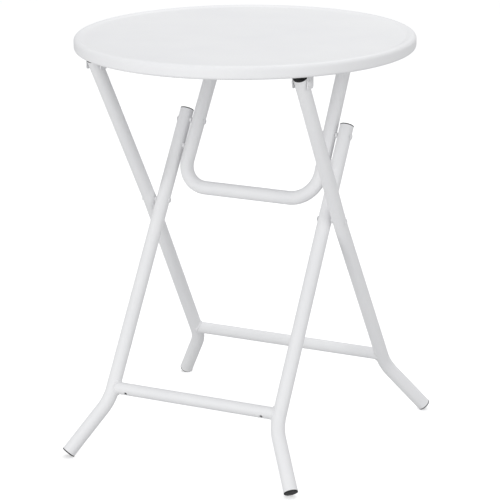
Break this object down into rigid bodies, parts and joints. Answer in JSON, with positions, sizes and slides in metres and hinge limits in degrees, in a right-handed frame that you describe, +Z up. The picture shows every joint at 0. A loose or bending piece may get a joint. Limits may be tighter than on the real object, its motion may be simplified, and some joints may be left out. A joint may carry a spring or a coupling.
{
  "type": "folding table",
  "caption": "Round folding bistro table: sheet-steel top with a rounded rim, two crossed tube leg frames and a U-shaped brace that locks it open.",
  "frame": {"origin": "on the floor under the centre of the round top", "axes": "+Z up to the top, X along the crossbars, -Y towards the front, where the inner legs stand"},
  "size_m": [0.603, 0.603, 0.737],
  "materials": {
    "white_powder_coat": "satin white powder coat",
    "black_plastic": "matt black moulded plastic"
  },
  "bodies": {
    "top": {"tabletop": "white_powder_coat", "front_bracket_left": "white_powder_coat", "front_bracket_right": "white_powder_coat", "front_hinge_pin_left": "white_powder_coat", "front_hinge_pin_right": "white_powder_coat", "front_hinge_nut_left": "white_powder_coat", "front_hinge_nut_right": "white_powder_coat", "rear_bracket_left": "white_powder_coat", "rear_bracket_right": "white_powder_coat", "rear_hinge_pin_left": "white_powder_coat", "rear_hinge_pin_right": "white_powder_coat", "rear_hinge_nut_left": "white_powder_coat", "rear_hinge_nut_right": "white_powder_coat"},
    "outer_frame": {"outer_leg_left": "white_powder_coat", "outer_leg_right": "white_powder_coat", "rear_crossbar": "white_powder_coat", "outer_top_plug_left": "black_plastic", "outer_top_plug_right": "black_plastic", "rear_foot_left": "black_plastic", "rear_foot_right": "black_plastic", "crossing_bolt_left": "white_powder_coat", "crossing_bolt_right": "white_powder_coat", "crossing_washer_left": "white_powder_coat", "crossing_washer_right": "white_powder_coat", "crossing_nut_left": "white_powder_coat", "crossing_nut_right": "white_powder_coat"},
    "inner_frame": {"inner_leg_left": "white_powder_coat", "inner_leg_right": "white_powder_coat", "front_crossbar": "white_powder_coat", "inner_top_plug_left": "black_plastic", "inner_top_plug_right": "black_plastic", "front_foot_left": "black_plastic", "front_foot_right": "black_plastic", "brace_bolt_left": "white_powder_coat", "brace_bolt_right": "white_powder_coat", "brace_spacer_left": "white_powder_coat", "brace_spacer_right": "white_powder_coat", "brace_stop_stud_left": "white_powder_coat", "brace_stop_stud_right": "white_powder_coat"},
    "brace": {"brace_tube": "white_powder_coat", "brace_top_plug_left": "black_plastic", "brace_top_plug_right": "black_plastic", "brace_barrel_nut_left": "white_powder_coat", "brace_barrel_nut_right": "white_powder_coat"}
  },
  "joints": [
    {"name": "fold_outer_legs", "type": "hinge", "parent": "top", "child": "outer_frame", "pos_m": [0, -0.18313, 0.7], "axis": [1, 0, 0], "range_deg": [0, 57.09]},
    {"name": "fold_inner_legs", "type": "hinge", "parent": "outer_frame", "child": "inner_frame", "pos_m": [0, -0.015, 0.4193], "axis": [1, 0, 0], "range_deg": [0, 59]},
    {"name": "fold_brace", "type": "hinge", "parent": "top", "child": "brace", "pos_m": [0, 0.16231, 0.7], "axis": [1, 0, 0], "range_deg": [-59.56, 0]}
  ],
  "couplings": [
    {"joint": "fold_inner_legs", "follows": "fold_outer_legs", "ratio": 1.0334},
    {"joint": "fold_brace", "follows": "fold_outer_legs", "ratio": -1.0431}
  ]
}
